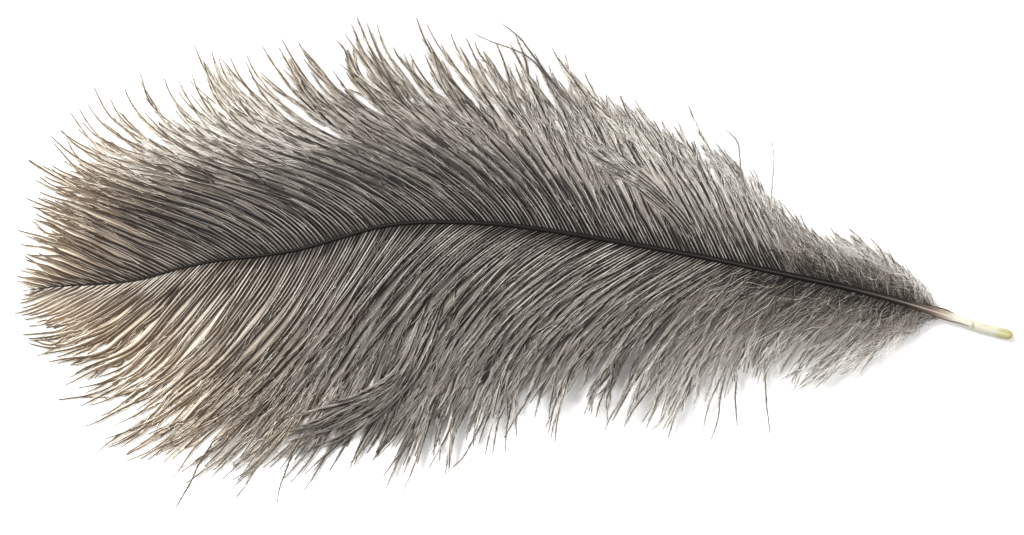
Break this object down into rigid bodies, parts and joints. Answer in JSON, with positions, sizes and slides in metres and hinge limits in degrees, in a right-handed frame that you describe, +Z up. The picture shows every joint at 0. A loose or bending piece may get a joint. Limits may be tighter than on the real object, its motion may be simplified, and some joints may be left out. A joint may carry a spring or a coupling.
{
  "type": "ostrich feather",
  "caption": "Loose ostrich feather lying flat: a bowed shaft with a bare quill and two soft, wide vanes that part into pointed locks of barbs.",
  "frame": {"origin": "middle of the feather's outline, on the surface that it lies on", "axes": "+X along the feather towards its quill, +Z up out of its top side, +Y across it"},
  "size_m": [0.25, 0.1148, 0.0103],
  "materials": {
    "feather": "soft grey-brown barbs on a darker shaft with an ivory quill"
  },
  "bodies": {
    "root": {"ostrich_feather": "feather"}
  },
  "joints": []
}
